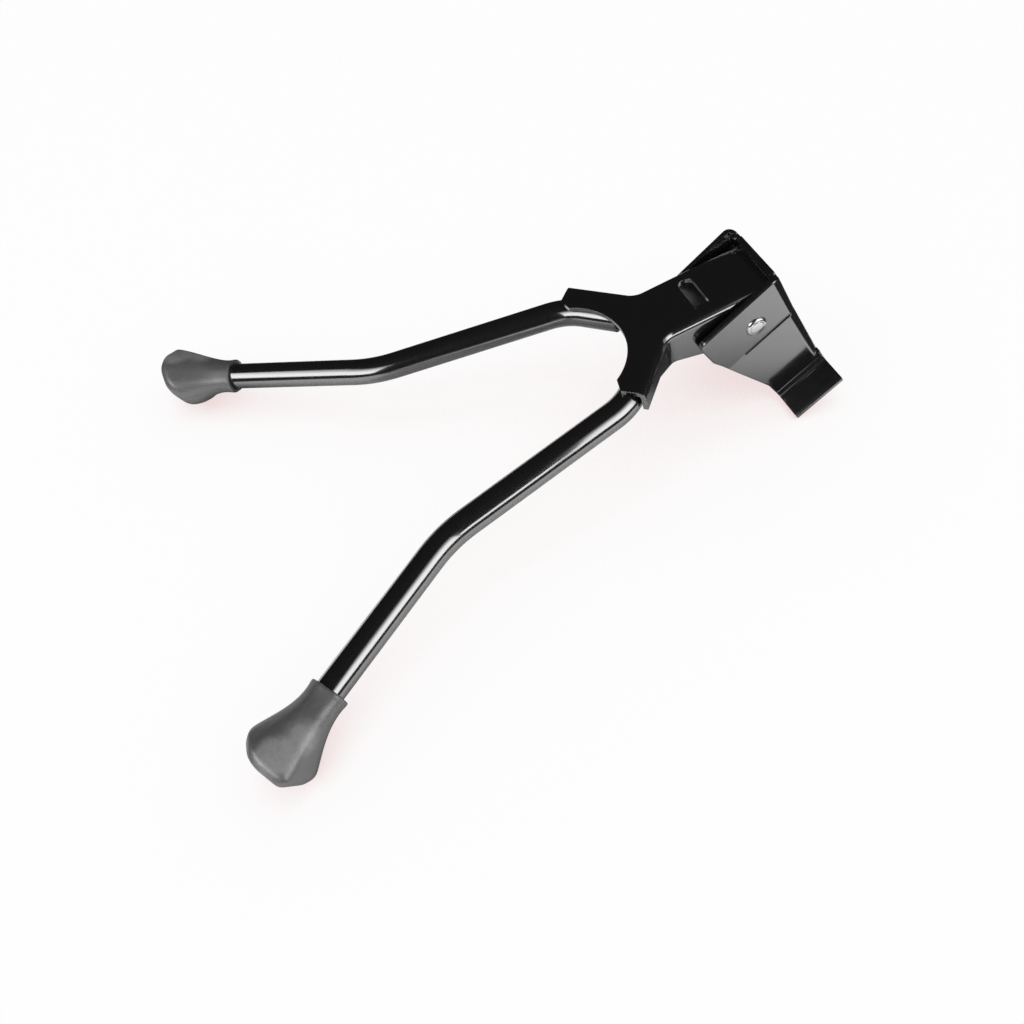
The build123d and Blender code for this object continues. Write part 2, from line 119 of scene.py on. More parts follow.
class FootFinish(PropertyGroup):
    """Dark grey moulded plastic of the feet."""

    grey: FloatVectorProperty(
        name="Plastic", description="Colour of the moulded plastic",
        subtype="COLOR", size=3, min=0, max=1, default=(0.098, 0.0965, 0.099))
    # Colour of the scraped edges, and also of the painted highlights on each foot's tip and the face above it
    scuffed_and_highlit: FloatVectorProperty(
        name="Scuffed plastic", description="Colour of rubbed places",
        subtype="COLOR", size=3, min=0, max=1, default=(0.27, 0.265, 0.27))
    # Painted shade: near-black colour on the end face round the tube, standing for the shade inside the foot's
    # opening
    mouth_shade: FloatVectorProperty(
        name="Mouth", description="Colour of the foot's end face round the tube",
        subtype="COLOR", size=3, min=0, max=1, default=(0.01, 0.01, 0.01))
    index: FloatProperty(
        name="Index", description="Refractive index of the moulded skin",
        default=2.2, min=1.2, max=3)
    roughness: FloatProperty(
        name="Roughness", description="Roughness of the moulded skin",
        subtype="FACTOR", default=0.36, min=0, max=1)
    grain_size: FloatProperty(
        name="Grain", description="Spacing of the moulded grain",
        subtype="DISTANCE", unit="LENGTH", default=0.7 * MM, min=0.1 * MM)
    grain_depth: FloatProperty(
        name="Grain depth", description="Height of the moulded grain",
        subtype="DISTANCE", unit="LENGTH", default=0.08 * MM, min=0)
    mottle_size: FloatProperty(
        name="Mottling", description="Spacing of the mottled light places",
        subtype="DISTANCE", unit="LENGTH", default=2.2 * MM, min=0.2 * MM)
    scrape_size: FloatProperty(
        name="Scrapes", description="Spacing of the scraped places",
        subtype="DISTANCE", unit="LENGTH", default=4 * MM, min=0.4 * MM)
    flow_size: FloatProperty(
        name="Flow", description="Spacing of the moulding's smoother and rougher areas",
        subtype="DISTANCE", unit="LENGTH", default=11 * MM, min=1 * MM)
    edge_round: FloatProperty(
        name="Edge rounding", description="Radius of the moulded edges",
        subtype="DISTANCE", unit="LENGTH", default=2 * MM, min=0)
    skin_size: FloatProperty(
        name="Skin size", description="Size of the faces of the moulded skin",
        subtype="DISTANCE", unit="LENGTH", default=0.6 * MM, min=0.4 * MM)
    softening: IntProperty(
        name="Softening", description="Passes that round the edges as a mould does",
        default=30, min=0)
    # Painted highlights: the next four settings place lighter patches of colour where light falls on each foot's
    # tip and the face above it
    toe_highlight: FloatVectorProperty(
        name="Rubbed toe",
        description="Middle of the left foot's rubbed toe, in the frame of the legs",
        subtype="XYZ", unit="LENGTH", size=3, default=(131.5 * MM, -26.5 * MM, 12.5 * MM))
    toe_highlight_reach: FloatVectorProperty(
        name="Toe reach",
        description="Radii inside which the toe is fully rubbed and rubbed at all",
        unit="LENGTH", size=2, default=(5.5 * MM, 10.5 * MM))
    shin_highlight: FloatVectorProperty(
        name="Rubbed shin",
        description="Middle of the rubbed place above the toe, in the frame of the legs",
        subtype="XYZ", unit="LENGTH", size=3, default=(127.0 * MM, -14.5 * MM, 8.6 * MM))
    shin_highlight_reach: FloatVectorProperty(
        name="Shin reach",
        description="Radii inside which the shin is fully rubbed and rubbed at all",
        unit="LENGTH", size=2, default=(1.5 * MM, 10.5 * MM))
    collar: FloatVectorProperty(
        name="Collar", description="Middle of the left foot's collar, in the frame of the legs",
        subtype="XYZ", unit="LENGTH", size=3, default=(107.4 * MM, 0.0, 0.0))
    lean: FloatProperty(
        name="Lean", description="Angle between the foot's tube and the middle of the stand",
        subtype="ANGLE", unit="ROTATION", default=radians(32.7))


class ZincFinish(PropertyGroup):
    """Bright zinc plating on the pivot rivets and washers."""

    zinc: FloatVectorProperty(
        name="Zinc", description="Colour of the plating",
        subtype="COLOR", size=3, min=0, max=1, default=(0.86, 0.86, 0.87))
    dull_zinc: FloatVectorProperty(
        name="Dull zinc", description="Colour of clouded plating",
        subtype="COLOR", size=3, min=0, max=1, default=(0.66, 0.66, 0.68))
    roughness: FloatProperty(
        name="Roughness", description="Roughness of clear plating",
        subtype="FACTOR", default=0.16, min=0, max=1)
    cloud_size: FloatProperty(
        name="Clouding", description="Spacing of the plating's clouds",
        subtype="DISTANCE", unit="LENGTH", default=4 * MM, min=0.4 * MM)
    pit_size: FloatProperty(
        name="Pits", description="Spacing of the plating's pits",
        subtype="DISTANCE", unit="LENGTH", default=0.6 * MM, min=0.1 * MM)
    ring_pitch: FloatProperty(
        name="Turning marks", description="Spacing of the rings left by turning",
        subtype="DISTANCE", unit="LENGTH", default=0.5 * MM, min=0.1 * MM)
    ring_depth: FloatProperty(
        name="Mark depth", description="Height of the rings left by turning",
        subtype="DISTANCE", unit="LENGTH", default=0.004 * MM, min=0)
    edge_round: FloatProperty(
        name="Edge rounding", description="Radius of the plated edges",
        subtype="DISTANCE", unit="LENGTH", default=0.3 * MM, min=0)
    dome_radius: FloatProperty(
        name="Dome", description="Radius of the rivets' domed ends",
        subtype="DISTANCE", unit="LENGTH", default=18 * MM, min=2 * MM)


class SpringSizes(PropertyGroup):
    """Tension spring between the yoke's tongue and the bracket's lug."""

    tongue_end: FloatVectorProperty(
        name="Tongue end", description="Hole in the yoke's tongue, in the frame of the legs",
        subtype="XYZ", unit="LENGTH", size=3, default=(8.0 * MM, 233.5 * MM, -0.9 * MM))
    lug_end: FloatVectorProperty(
        name="Lug end", description="Hole in the bracket's lug, in the frame of the legs",
        subtype="XYZ", unit="LENGTH", size=3, default=(8.0 * MM, 266.895 * MM, -3.843 * MM))
    wire: FloatProperty(
        name="Wire", description="Diameter of the wire",
        subtype="DISTANCE", unit="LENGTH", default=1.8 * MM, min=0.1 * MM)
    coil_radius: FloatProperty(
        name="Coil radius", description="Radius at the middle of the wire",
        subtype="DISTANCE", unit="LENGTH", default=3.5 * MM, min=0.5 * MM)
    shank: FloatProperty(
        name="Hook shank", description="Straight wire between the coil and its hook's loop",
        subtype="DISTANCE", unit="LENGTH", default=1.5 * MM, min=0)
    steel: FloatVectorProperty(
        name="Spring steel", description="Colour of the oiled wire",
        subtype="COLOR", size=3, min=0, max=1, default=(0.36, 0.355, 0.35))
    roughness: FloatProperty(
        name="Roughness", description="Roughness of clean wire",
        subtype="FACTOR", default=0.26, min=0, max=1)
    streak_size: FloatProperty(
        name="Streaks", description="Spacing of the streaks left by drawing the wire",
        subtype="DISTANCE", unit="LENGTH", default=0.7 * MM, min=0.1 * MM)
    streak_depth: FloatProperty(
        name="Streak depth", description="Height of the streaks",
        subtype="DISTANCE", unit="LENGTH", default=0.01 * MM, min=0)
    oil_size: FloatProperty(
        name="Oil", description="Spacing of the oily places",
        subtype="DISTANCE", unit="LENGTH", default=5 * MM, min=0.5 * MM)


class WeldSizes(PropertyGroup):
    """Weld beads along the lower edges of the yoke's arms."""

    start: FloatVectorProperty(
        name="Start", description="Lower end of the left bead, in the frame of the legs",
        subtype="XYZ", unit="LENGTH", size=3, default=(38.5 * MM, 187.5 * MM, -3.1 * MM))
    end: FloatVectorProperty(
        name="End", description="Upper end of the left bead, in the frame of the legs",
        subtype="XYZ", unit="LENGTH", size=3, default=(26.1 * MM, 199.1 * MM, -3.1 * MM))
    bead: FloatProperty(
        name="Bead", description="Width of the bead",
        subtype="DISTANCE", unit="LENGTH", default=3.0 * MM, min=0.4 * MM)
    ripples: IntProperty(
        name="Ripples", description="Number of ripples along the bead",
        default=12, min=1)


class StudioSettings(PropertyGroup):
    """White table, dark room, bright windows and camera."""

    camera_place: FloatVectorProperty(
        name="Camera", description="Camera's place in the frame of the legs",
        subtype="XYZ", unit="LENGTH", size=3,
        default=(324.595 * MM, 101.782 * MM, 353.202 * MM))
    heading: FloatProperty(
        name="Heading", description="Turn of the view from +Y towards +X",
        subtype="ANGLE", unit="ROTATION", default=radians(-89.276))
    dip: FloatProperty(
        name="Dip", description="Angle that the view looks down",
        subtype="ANGLE", unit="ROTATION", default=radians(53.620))
    roll: FloatProperty(
        name="Roll", description="Turn of the camera about its view",
        subtype="ANGLE", unit="ROTATION", default=radians(25.672))
    lens: FloatProperty(
        name="Lens", description="Focal length for a 36 mm sensor",
        unit="CAMERA", default=33.398, min=1)
    table_radius: FloatProperty(
        name="Table radius", description="Radius of the white table",
        subtype="DISTANCE", unit="LENGTH", default=2.5, min=0.5)
    paper: FloatVectorProperty(
        name="Paper", description="Colour of the table where it throws light back at the stand",
        subtype="COLOR", size=3, min=0, max=1, default=(0.8, 0.8, 0.8))
    shadow: FloatVectorProperty(
        name="Shadow", description="Colour of the table close under the stand",
        subtype="COLOR", size=3, min=0, max=1, default=(0.84, 0.68, 0.68))
    shadow_reach: FloatProperty(
        name="Shadow reach", description="Distance over which the stand shades the table",
        subtype="DISTANCE", unit="LENGTH", default=0.13, min=0.01)
    sheet_size: FloatVectorProperty(
        name="Sheet",
        description="Half width and half length of the white sheet that reflections show "
        "on the table",
        unit="LENGTH", size=2, default=(0.165, 0.205))
    sheet_fade: FloatProperty(
        name="Sheet fade", description="Width over which the sheet's rim fades into the dark bench",
        subtype="DISTANCE", unit="LENGTH", default=0.012, min=0.001)
    bench: FloatVectorProperty(
        name="Bench", description="Colour of the bench that reflections show round the sheet",
        subtype="COLOR", size=3, min=0, max=1, default=(0.012, 0.012, 0.012))
    yoke_shadow: FloatVectorProperty(
        name="Yoke's shadow",
        description="Middle of the yoke's shadow between the legs, on the reflected sheet",
        subtype="XYZ", unit="LENGTH", size=3, default=(0.0, -0.025, 0.0))
    yoke_shadow_reach: FloatVectorProperty(
        name="Yoke's shadow reach", description="Radii of the full and the faded shadow",
        unit="LENGTH", size=2, default=(0.05, 0.10))
    dark_room: FloatVectorProperty(
        name="Dark room", description="Colour of the walls and ceiling that reflections show",
        subtype="COLOR", size=3, min=0, max=1, default=(0.013, 0.0125, 0.013))
    window_distance: FloatProperty(
        name="Window distance", description="Distance of the windows from the stand",
        subtype="DISTANCE", unit="LENGTH", default=1.4, min=0.5)
    bracket_window: FloatVectorProperty(
        name="Bracket window",
        description="First and last bearing of the window towards the bracket, from +X",
        unit="ROTATION", size=2, default=(radians(23.0), radians(78.0)))
    side_fade: FloatVectorProperty(
        name="Side fade", description="Bearings between which that window dims, from +X",
        unit="ROTATION", size=2, default=(radians(48.0), radians(66.0)))
    side_dimming: FloatProperty(
        name="Side dimming", description="Share of its light that the window loses past that fade",
        subtype="FACTOR", default=0.75, min=0, max=1)
    low_window: FloatVectorProperty(
        name="Low window", description="First and last bearing of the low pane beside it, from +X",
        unit="ROTATION", size=2, default=(radians(8.0), radians(22.0)))
    foot_window: FloatVectorProperty(
        name="Foot window",
        description="First and last bearing of the window towards the feet, from +X",
        unit="ROTATION", size=2, default=(radians(-104.0), radians(-47.0)))
    window_rises: FloatVectorProperty(
        name="Window heights",
        description="Angles above the table of the sill, the low pane's top, the top of full "
        "brightness and the faded top",
        unit="ROTATION", size=4,
        default=(radians(8.0), radians(21.0), radians(28.0), radians(62.0)))
    foot_rises: FloatVectorProperty(
        name="Foot window heights",
        description="Angles above the table of the sill and top of the window towards the feet",
        unit="ROTATION", size=2, default=(radians(15.0), radians(50.0)))
    window_level: FloatProperty(
        name="Window level", description="Brightness of the windows, where 1 is white",
        default=2.9, min=0)
    ambient: FloatProperty(
        name="Ambient", description="Level of the light from all round",
        default=0.55, min=0)
    ambient_sides: FloatVectorProperty(
        name="Ambient sides",
        description="Shares of that level from the right of the stand and from its left",
        size=2, min=0, default=(0.35, 1.75))


class Socket:
    """An output of a node, with arithmetic on values that adds Math nodes to its tree."""

    def __init__(self, tree, node, output):
        self.tree = tree
        self.node = node
        self.output = output

    def other(self, name):
        """Another output of the same node."""
        return Socket(self.tree, self.node, self.node.outputs[name])

    def __add__(self, value):
        return self.tree.math("ADD", self, value)

    def __radd__(self, value):
        return self.tree.math("ADD", value, self)

    def __sub__(self, value):
        return self.tree.math("SUBTRACT", self, value)

    def __rsub__(self, value):
        return self.tree.math("SUBTRACT", value, self)

    def __mul__(self, value):
        return self.tree.math("MULTIPLY", self, value)

    def __rmul__(self, value):
        return self.tree.math("MULTIPLY", value, self)

    def __truediv__(self, value):
        return self.tree.math("DIVIDE", self, value)

    def __rtruediv__(self, value):
        return self.tree.math("DIVIDE", value, self)

    def __pow__(self, value):
        return self.tree.math("POWER", self, value)

    def __rpow__(self, value):
        return self.tree.math("POWER", value, self)

    def held(self):
        """The value kept between 0 and 1."""
        return self.tree.make("ShaderNodeClamp", {}, {"Value": self})

    def step(self, low, high):
        """0 below low, 1 above high, and smooth between them."""
        return self.tree.make("ShaderNodeMapRange", {"interpolation_type": "SMOOTHSTEP"},
                              {"Value": self, "From Min": low, "From Max": high})


class NodeTree:
    """Empty node tree of a material or world, and the one way to add a node to it."""

    bevel_samples = 6
    # Cosines between a face and its rounded normal, well inside an edge and clear of it
    edge_band = (0.86, 0.995)

    def __init__(self, owner):
        owner.use_nodes = True
        self.tree = owner.node_tree
        self.tree.nodes.clear()

    def make(self, kind, settings=None, inputs=None, output=0):
        """Node of a kind, with its settings made first and then its inputs' values or links."""
        node = self.tree.nodes.new(kind)
        for name, value in (settings or {}).items():
            setattr(node, name, value)
        for key, value in (inputs or {}).items():
            if isinstance(value, Socket):
                self.tree.links.new(value.output, node.inputs[key])
            else:
                node.inputs[key].default_value = value
        return Socket(self, node, node.outputs[output]) if node.outputs else None

    def math(self, operation, *values):
        """Math node on one or two values."""
        return self.make("ShaderNodeMath", {"operation": operation}, dict(enumerate(values)))

    def vector_math(self, operation, first, second):
        """Value that a Vector Math node makes of two vectors."""
        return self.make("ShaderNodeVectorMath", {"operation": operation},
                         {0: first, 1: second}, output="Value")

    def dot(self, first, second):
        """Length of a vector along a direction."""
        return self.vector_math("DOT_PRODUCT", first, second)

    def distance(self, first, second):
        """Distance between two places."""
        return self.vector_math("DISTANCE", first, second)

    def parts(self, vector):
        """X of a vector, with its Y and Z as other outputs."""
        return self.make("ShaderNodeSeparateXYZ", {}, {"Vector": vector})

    def place(self):
        """Position on the piece, in metres in the shared frame."""
        return self.make("ShaderNodeTexCoord", output="Object")

    def facing(self):
        """Direction that the surface faces."""
        return self.make("ShaderNodeNewGeometry", output="Normal")

    def noise(self, place, spacing, detail=2.0, roughness=0.5, distortion=0.0):
        """Noise from 0 to 1 whose blobs are about the given spacing apart."""
        return self.make("ShaderNodeTexNoise", {}, {
            "Vector": place, "Scale": 1 / spacing, "Detail": detail, "Roughness": roughness,
            "Distortion": distortion})

    def mix(self, share, first, second):
        """Colour between two colours."""
        return self.make("ShaderNodeMix", {"data_type": "RGBA"}, {0: share, 6: first, 7: second},
                         output=2)

    def mirrored(self, vector):
        """A place or direction on the right half of the stand, mirrored over to the left half."""
        parts = self.parts(vector)
        across = parts * self.math("SIGN", self.parts(self.place()))
        return self.make("ShaderNodeCombineXYZ", {},
                         {"X": across, "Y": parts.other("Y"), "Z": parts.other("Z")})

    def patch(self, middle, inner, outer):
        """1 inside a ball on the left half and its mirror image, and 0 outside."""
        return 1 - self.distance(self.mirrored(self.place()), middle).step(inner, outer)

    def rounded(self, radius):
        """Normal that rounds sharp edges off."""
        return self.make("ShaderNodeBevel", {"samples": self.bevel_samples}, {"Radius": radius})

    def edges(self, rounded):
        """1 on sharp edges and 0 on plain faces."""
        return 1 - self.dot(rounded, self.facing()).step(*self.edge_band)

    def bump(self, height, depth, normal, strength):
        """Normal with fine relief of a depth in metres."""
        return self.make("ShaderNodeBump", {}, {
            "Strength": strength, "Distance": depth, "Height": height, "Normal": normal})

    def emission(self, colour, strength=1.0):
        """Shader that shines with a colour."""
        return self.make("ShaderNodeEmission", {}, {"Color": colour, "Strength": strength})

    def show(self, shader, owner="Material"):
        """Gives a shader to the output of the material or world."""
        self.make("ShaderNodeOutput" + owner, {}, {"Surface": shader})

    def surface(self, **inputs):
        """Shows a Principled surface, its sockets named by words joined with underscores."""
        named = {name.replace("_", " ").title().replace("Ior", "IOR"): value
                 for name, value in inputs.items()}
        self.show(self.make("ShaderNodeBsdfPrincipled", {}, named))


def opaque(colour):
    """Colour with full alpha, as node sockets take it."""
    return (*colour, 1.0)


def blank(name):
    """New material and its empty node tree."""
    material = bpy.data.materials.new(name)
    return material, NodeTree(material)


# In the finishes, a band is where a step goes from 0 to 1, a dulling adds to the roughness, heights
# are shares of a finish's depth, and relief is how strongly that depth shows
def black_enamel(finish):
    """Gloss black enamel: faint orange peel, specks of dust and thin cover on sheared edges."""
    dust_band, rub_band = (0.77, 0.82), (0.58, 0.74)
    unrubbed_edge = 0.35
    cloud_dulling, dust_dulling, rub_dulling = 0.05, 0.06, 0.05
    dust_height, relief = 0.15, 0.2
    material, tree = blank("black_enamel")
    place = tree.place()
    rounded = tree.rounded(finish.edge_round)
    cloud = tree.noise(place, finish.cloud_size, detail=3)
    peel = tree.noise(place, finish.peel_size, detail=1.5)
    dust = tree.noise(place, finish.dust_size, detail=0.5).step(*dust_band)
    wear = tree.noise(place, finish.rub_size, detail=5, roughness=0.7, distortion=0.6)
    rub = wear.step(*rub_band)
    thin = (tree.edges(rounded) * (unrubbed_edge + (1 - unrubbed_edge) * rub)).held()
    colour = tree.mix(thin, opaque(finish.black), opaque(finish.black_thin))
    dulling = cloud_dulling * cloud + dust_dulling * dust + rub_dulling * rub
    normal = tree.bump(peel + dust_height * dust, finish.peel_depth, rounded, strength=relief)
    tree.surface(base_color=colour, roughness=finish.roughness + dulling, ior=finish.index,
                 coat_weight=1.0, coat_roughness=finish.coat_roughness,
                 coat_ior=finish.coat_index, normal=normal)
    return material


def foot_plastic(finish):
    """Moulded plastic: grain, parting line, scraped edges, painted highlights near the tip, painted shade round
    the tube.
    """
    scrape_band = (0.56, 0.72)
    parting_band = (0.12 * MM, 0.4 * MM)
    inwards_band, mouth_shade_band = (0.45, 0.8), (-2.2 * MM, -0.8 * MM)
    edge_rubbing, toe_highlight_strength, least_highlight = 0.3, 0.9, 0.5
    mottle_share, mottle_middle = 0.5, 0.45
    flow_dulling, scrape_dulling = 0.12, 0.08
    mottle_height, scrape_height, relief = 0.8, 0.5, 0.9
    material, tree = blank("foot_plastic")
    place = tree.place()
    rounded = tree.rounded(finish.edge_round)
    edge = tree.edges(rounded)
    grain = tree.noise(place, finish.grain_size, detail=2)
    flow = tree.noise(place, finish.flow_size, detail=4, roughness=0.6)
    wear = tree.noise(place, finish.scrape_size, detail=6, roughness=0.75, distortion=1.2)
    scrape = wear.step(*scrape_band)
    mottle = tree.noise(place, finish.mottle_size, detail=4, roughness=0.7)

    # The parting line lies in the plane of the tubes' centre lines
    up = LEGS.to_3x3() @ Vector((0, 0, 1))
    height = tree.dot(place, up) - up.dot(LEGS.translation)
    parting = 1 - tree.math("ABSOLUTE", height).step(*parting_band)

    # The end face round the tube, which faces up the tube close to the collar, is painted near black as shade
    up_tube = LEGS.to_3x3() @ Vector((-sin(finish.lean), cos(finish.lean), 0))
    inwards = tree.dot(tree.mirrored(tree.facing()), up_tube).step(*inwards_band)
    beyond = tree.dot(tree.mirrored(place), up_tube) - up_tube.dot(LEGS @ Vector(finish.collar))
    mouth_shade = inwards * beyond.step(*mouth_shade_band)

    # Painted highlights: lighter patches on each foot's tip and the face above it, mirrored to both feet
    toe_highlight = tree.patch(LEGS @ Vector(finish.toe_highlight), *finish.toe_highlight_reach)
    shin_highlight = tree.patch(LEGS @ Vector(finish.shin_highlight), *finish.shin_highlight_reach)
    # Lighter colour from real scrapes on the edges, from the painted highlights and from random mottling
    worn_and_highlit = (edge_rubbing * edge * scrape
              + (toe_highlight_strength * toe_highlight + shin_highlight) * (least_highlight + mottle)
              + mottle_share * (mottle - mottle_middle)).held()
    moulded = tree.mix(worn_and_highlit, opaque(finish.grey), opaque(finish.scuffed_and_highlit))
    colour = tree.mix(mouth_shade, moulded, opaque(finish.mouth_shade))
    roughness = finish.roughness + flow_dulling * flow + scrape_dulling * scrape
    texture = grain + mottle_height * mottle + scrape_height * scrape * edge + parting
    normal = tree.bump(texture, finish.grain_depth, rounded, strength=relief)
    tree.surface(base_color=colour, roughness=roughness, ior=finish.index, normal=normal)
    return material


def bright_zinc(finish):
    """Zinc plating: rings from turning round the pivot, and soft clouding."""
    pit_band, clear_cloud = (0.70, 0.78), 0.35
    cloud_dulling, pit_dulling = 0.12, 0.1
    ring_height, pit_drop, relief = 0.5, 0.4, 0.2
    material, tree = blank("bright_zinc")
    place = tree.place()
    rounded = tree.rounded(finish.edge_round)
    parts = tree.parts(place)
    along = parts.other("Y") - PIVOT.y
    height = parts.other("Z") - PIVOT.z
    radius = (along * along + height * height) ** 0.5
    ring = tree.math("SINE", radius * (tau / finish.ring_pitch))
    cloud = tree.noise(place, finish.cloud_size, detail=5, roughness=0.65)
    pits = tree.noise(place, finish.pit_size, detail=1).step(*pit_band)
    dull = (cloud - clear_cloud).held()
    colour = tree.mix(dull, opaque(finish.zinc), opaque(finish.dull_zinc))
    roughness = finish.roughness + cloud_dulling * cloud + pit_dulling * pits
    marks = ring_height * ring - pit_drop * pits
    normal = tree.bump(marks, finish.ring_depth, rounded, strength=relief)
    tree.surface(base_color=colour, metallic=1.0, roughness=roughness, normal=normal)
    return material


def spring_steel(sizes):
    """Oiled spring wire: drawn streaks, and darker and duller places where the oil lies."""
    oil_band, oil_shade, oil_dulling = (0.35, 0.7), 0.45, 0.2
    relief = 0.4
    material, tree = blank("spring_steel")
    place = tree.place()
    streak = tree.noise(place, sizes.streak_size, detail=4, roughness=0.7)
    oil = tree.noise(place, sizes.oil_size, detail=3)
    oiled = tuple(oil_shade * value for value in sizes.steel)
    colour = tree.mix(oil.step(*oil_band), opaque(sizes.steel), opaque(oiled))
    roughness = sizes.roughness + oil_dulling * oil
    normal = tree.bump(streak, sizes.streak_depth, tree.facing(), strength=relief)
    tree.surface(base_color=colour, metallic=1.0, roughness=roughness, normal=normal)
    return material


def dress(names, material):
    """Gives CAD nodes one material in place of their own."""
    for name in names:
        mesh = frame["nodes"][name].data
        mesh.materials.clear()
        mesh.materials.append(material)


def added(name, mesh, material):
    """New piece of the stand or the stage, made of a finished mesh."""
    mesh.name = name
    mesh.materials.clear()
    mesh.materials.append(material)
    piece = bpy.data.objects.new(name, mesh)
    bpy.context.scene.collection.objects.link(piece)
    return piece


def smooth_tube(name, points, radii, width):
    """Mesh of a round bar along a smooth spline near the points, with a radius share at each."""
    curve = bpy.data.curves.new(name, "CURVE")
    curve.dimensions = "3D"
    curve.bevel_depth = width / 2
    curve.bevel_resolution = 4
    curve.resolution_u = 3
    curve.use_fill_caps = True
    spline = curve.splines.new("NURBS")
    spline.points.add(len(points) - 1)
    for point, place, share in zip(spline.points, points, radii):
        point.co = (*place, 1.0)
        point.radius = share
    spline.order_u = 3
    spline.use_endpoint_u = True
    holder = bpy.data.objects.new(name + "_line", curve)
    bpy.context.scene.collection.objects.link(holder)
    evaluated = holder.evaluated_get(bpy.context.evaluated_depsgraph_get())
    mesh = bpy.data.meshes.new_from_object(evaluated)
    bpy.data.objects.remove(holder)
    bpy.data.curves.remove(curve)
    for polygon in mesh.polygons:
        polygon.use_smooth = True
    return mesh


class KICKSTAND_OT_steelwork(Operator):
    """Enamel the bracket, the yoke and the legs"""

    bl_idname = "kickstand.steelwork"
    bl_label = "Enamelled steel"

    def execute(self, context):
        enamel = black_enamel(context.scene.kickstand_steel)
        dress(("bracket", "leg_yoke", "left_leg", "right_leg"), enamel)
        return {"FINISHED"}


class KICKSTAND_OT_feet(Operator):
    """Finish the moulded feet"""

    bl_idname = "kickstand.feet"
    bl_label = "Moulded feet"

    def execute(self, context):
        finish = context.scene.kickstand_feet
        feet = ("left_foot", "right_foot")
        dress(feet, foot_plastic(finish))
        for name in feet:
            skin = frame["nodes"][name].modifiers.new("moulded_skin", "REMESH")
            skin.mode = "VOXEL"
            skin.voxel_size = finish.skin_size
            skin.use_smooth_shade = True
            edges = frame["nodes"][name].modifiers.new("soft_edges", "SMOOTH")
            edges.factor = 0.5
            edges.iterations = finish.softening
        return {"FINISHED"}


class KICKSTAND_OT_pivots(Operator):
    """Plate the pivot rivets and washers with zinc and dome the rivets' ends"""

    bl_idname = "kickstand.pivots"
    bl_label = "Zinc pivots"

    def execute(self, context):
        finish = context.scene.kickstand_zinc
        zinc = bright_zinc(finish)
        dress(("left_pivot_rivet", "right_pivot_rivet", "left_pivot_washer", "right_pivot_washer"),
              zinc)
        for name, rivet, side in (("left_rivet_dome", "left_pivot_rivet", 1),
                                  ("right_rivet_dome", "right_pivot_rivet", -1)):
            mesh = self.dome(frame["nodes"][rivet].data, side, finish.dome_radius)
            dome = added(name, mesh, zinc)
            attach(dome, "bracket")
        return {"FINISHED"}

    def dome(self, rivet, side, radius):
        """Mesh of a shallow dome on a rivet's flat outer end, sunk a little into it."""
        rings, corners = 10, 48
        flatness, sinking = 0.01 * MM, 0.05 * MM
        tip = max(side * vertex.co.x for vertex in rivet.vertices)
        rim = max((vertex.co.yz - PIVOT.yz).length for vertex in rivet.vertices
                  if side * vertex.co.x > tip - flatness)
        rise = rim ** 2 / (2 * radius)
        levels = [(rim * i / rings, tip + rise * (1 - (i / rings) ** 2))
                  for i in range(1, rings + 1)]
        levels.append((rim, tip - sinking))
        points = [(side * (tip + rise), PIVOT.y, PIVOT.z)]
        for reach, out in levels:
            for j in range(corners):
                turn = side * tau * j / corners
                points.append((side * out, PIVOT.y + reach * cos(turn),
                               PIVOT.z + reach * sin(turn)))
        faces = [(0, 1 + j, 1 + (j + 1) % corners) for j in range(corners)]
        for i in range(len(levels) - 1):
            first = 1 + i * corners
            second = first + corners
            for j in range(corners):
                following = (j + 1) % corners
                faces.append((first + j, second + j, second + following, first + following))
        faces.append(range(len(points) - 1, len(points) - 1 - corners, -1))
        mesh = bpy.data.meshes.new("rivet_dome")
        mesh.from_pydata(points, [], faces)
        for polygon in mesh.polygons[:rings * corners]:
            polygon.use_smooth = True
        return mesh


class KICKSTAND_OT_spring(Operator):
    """Wind the return spring between the tongue and the lug"""

    bl_idname = "kickstand.spring"
    bl_label = "Return spring"

    def execute(self, context):
        sizes = context.scene.kickstand_spring
        turn_steps, hook_steps = 16, 10
        start = LEGS @ Vector(sizes.tongue_end)
        end = LEGS @ Vector(sizes.lug_end)
        pull = (end - start).normalized()
        across = Vector((1, 0, 0))
        side = pull.cross(across)
        hook_length = sizes.coil_radius + sizes.shank
        coil_length = (end - start).length - 2 * hook_length
        steps = turn_steps * round(coil_length / sizes.wire)

        def hook(foot, outwards):
            """Points of a hook from its free tip round to the coil."""
            bend = foot + outwards * sizes.shank
            points = [foot - across * sizes.coil_radius]
            for i in range(hook_steps + 1):
                angle = pi - pi * i / hook_steps
                points.append(bend + across * (sizes.coil_radius * cos(angle))
                              + outwards * (sizes.coil_radius * sin(angle)))
            return points

        coil_start = start + pull * hook_length
        coil_end = end - pull * hook_length
        points = hook(coil_start, -pull)
        for i in range(steps + 1):
            angle = tau * i / turn_steps
            rim = across * cos(angle) + side * sin(angle)
            points.append(coil_start + pull * (coil_length * i / steps) + rim * sizes.coil_radius)
        points += reversed(hook(coil_end, pull))
        mesh = smooth_tube("spring_wire", points, [1.0] * len(points), sizes.wire)
        spring = added("spring_coil", mesh, spring_steel(sizes))
        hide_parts("return_spring")
        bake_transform(spring)
        return {"FINISHED"}


